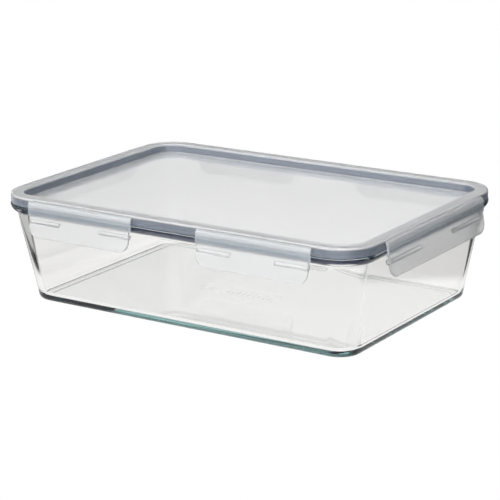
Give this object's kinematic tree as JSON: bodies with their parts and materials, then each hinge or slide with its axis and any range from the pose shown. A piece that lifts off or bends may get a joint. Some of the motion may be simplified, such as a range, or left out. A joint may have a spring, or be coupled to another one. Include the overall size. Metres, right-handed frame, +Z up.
{
  "type": "glass storage container",
  "caption": "Rectangular clear glass food container with a recessed clear plastic lid, dark silicone seal and locking clips on living hinges along every side.",
  "frame": {"origin": "centre of the dish's foot, on the plane it stands on", "axes": "+Z up, +X along the long side, -Y towards the front"},
  "size_m": [0.3238, 0.224, 0.0834],
  "materials": {
    "glass": "polished",
    "lid_plastic": "clear glossy polypropylene",
    "clip_plastic": "clear satin polypropylene",
    "hinge_plastic": "clear satin polypropylene",
    "seal_silicone": "matte"
  },
  "bodies": {
    "dish": {"glass_dish": "glass"},
    "lid": {"lid_panel": "lid_plastic", "seal_ring": "seal_silicone", "living_hinge_front_left": "hinge_plastic", "living_hinge_front_right": "hinge_plastic", "living_hinge_back_left": "hinge_plastic", "living_hinge_back_right": "hinge_plastic", "living_hinge_left": "hinge_plastic", "living_hinge_right": "hinge_plastic"},
    "clip_front_left": {"clip_front_left": "clip_plastic"},
    "clip_front_right": {"clip_front_right": "clip_plastic"},
    "clip_back_left": {"clip_back_left": "clip_plastic"},
    "clip_back_right": {"clip_back_right": "clip_plastic"},
    "clip_left": {"clip_left": "clip_plastic"},
    "clip_right": {"clip_right": "clip_plastic"}
  },
  "joints": [
    {"name": "lid_lift", "type": "slide", "parent": "dish", "child": "lid", "axis": [0, 0, 1], "range_m": [0, 0.1]},
    {"name": "clip_front_left_hinge", "type": "hinge", "parent": "lid", "child": "clip_front_left", "pos_m": [-0.0749, -0.1067, 0.08215], "axis": [-1, 0, 0], "range_deg": [0, 135], "deforming": ["living_hinge_front_left"]},
    {"name": "clip_front_right_hinge", "type": "hinge", "parent": "lid", "child": "clip_front_right", "pos_m": [0.0749, -0.1067, 0.08215], "axis": [-1, 0, 0], "range_deg": [0, 135], "deforming": ["living_hinge_front_right"]},
    {"name": "clip_back_left_hinge", "type": "hinge", "parent": "lid", "child": "clip_back_left", "pos_m": [-0.0749, 0.1067, 0.08215], "axis": [1, 0, 0], "range_deg": [0, 135], "deforming": ["living_hinge_back_left"]},
    {"name": "clip_back_right_hinge", "type": "hinge", "parent": "lid", "child": "clip_back_right", "pos_m": [0.0749, 0.1067, 0.08215], "axis": [1, 0, 0], "range_deg": [0, 135], "deforming": ["living_hinge_back_right"]},
    {"name": "clip_left_hinge", "type": "hinge", "parent": "lid", "child": "clip_left", "pos_m": [-0.15655, 0, 0.08215], "axis": [0, 1, 0], "range_deg": [0, 135], "deforming": ["living_hinge_left"]},
    {"name": "clip_right_hinge", "type": "hinge", "parent": "lid", "child": "clip_right", "pos_m": [0.15655, 0, 0.08215], "axis": [0, -1, 0], "range_deg": [0, 135], "deforming": ["living_hinge_right"]}
  ]
}
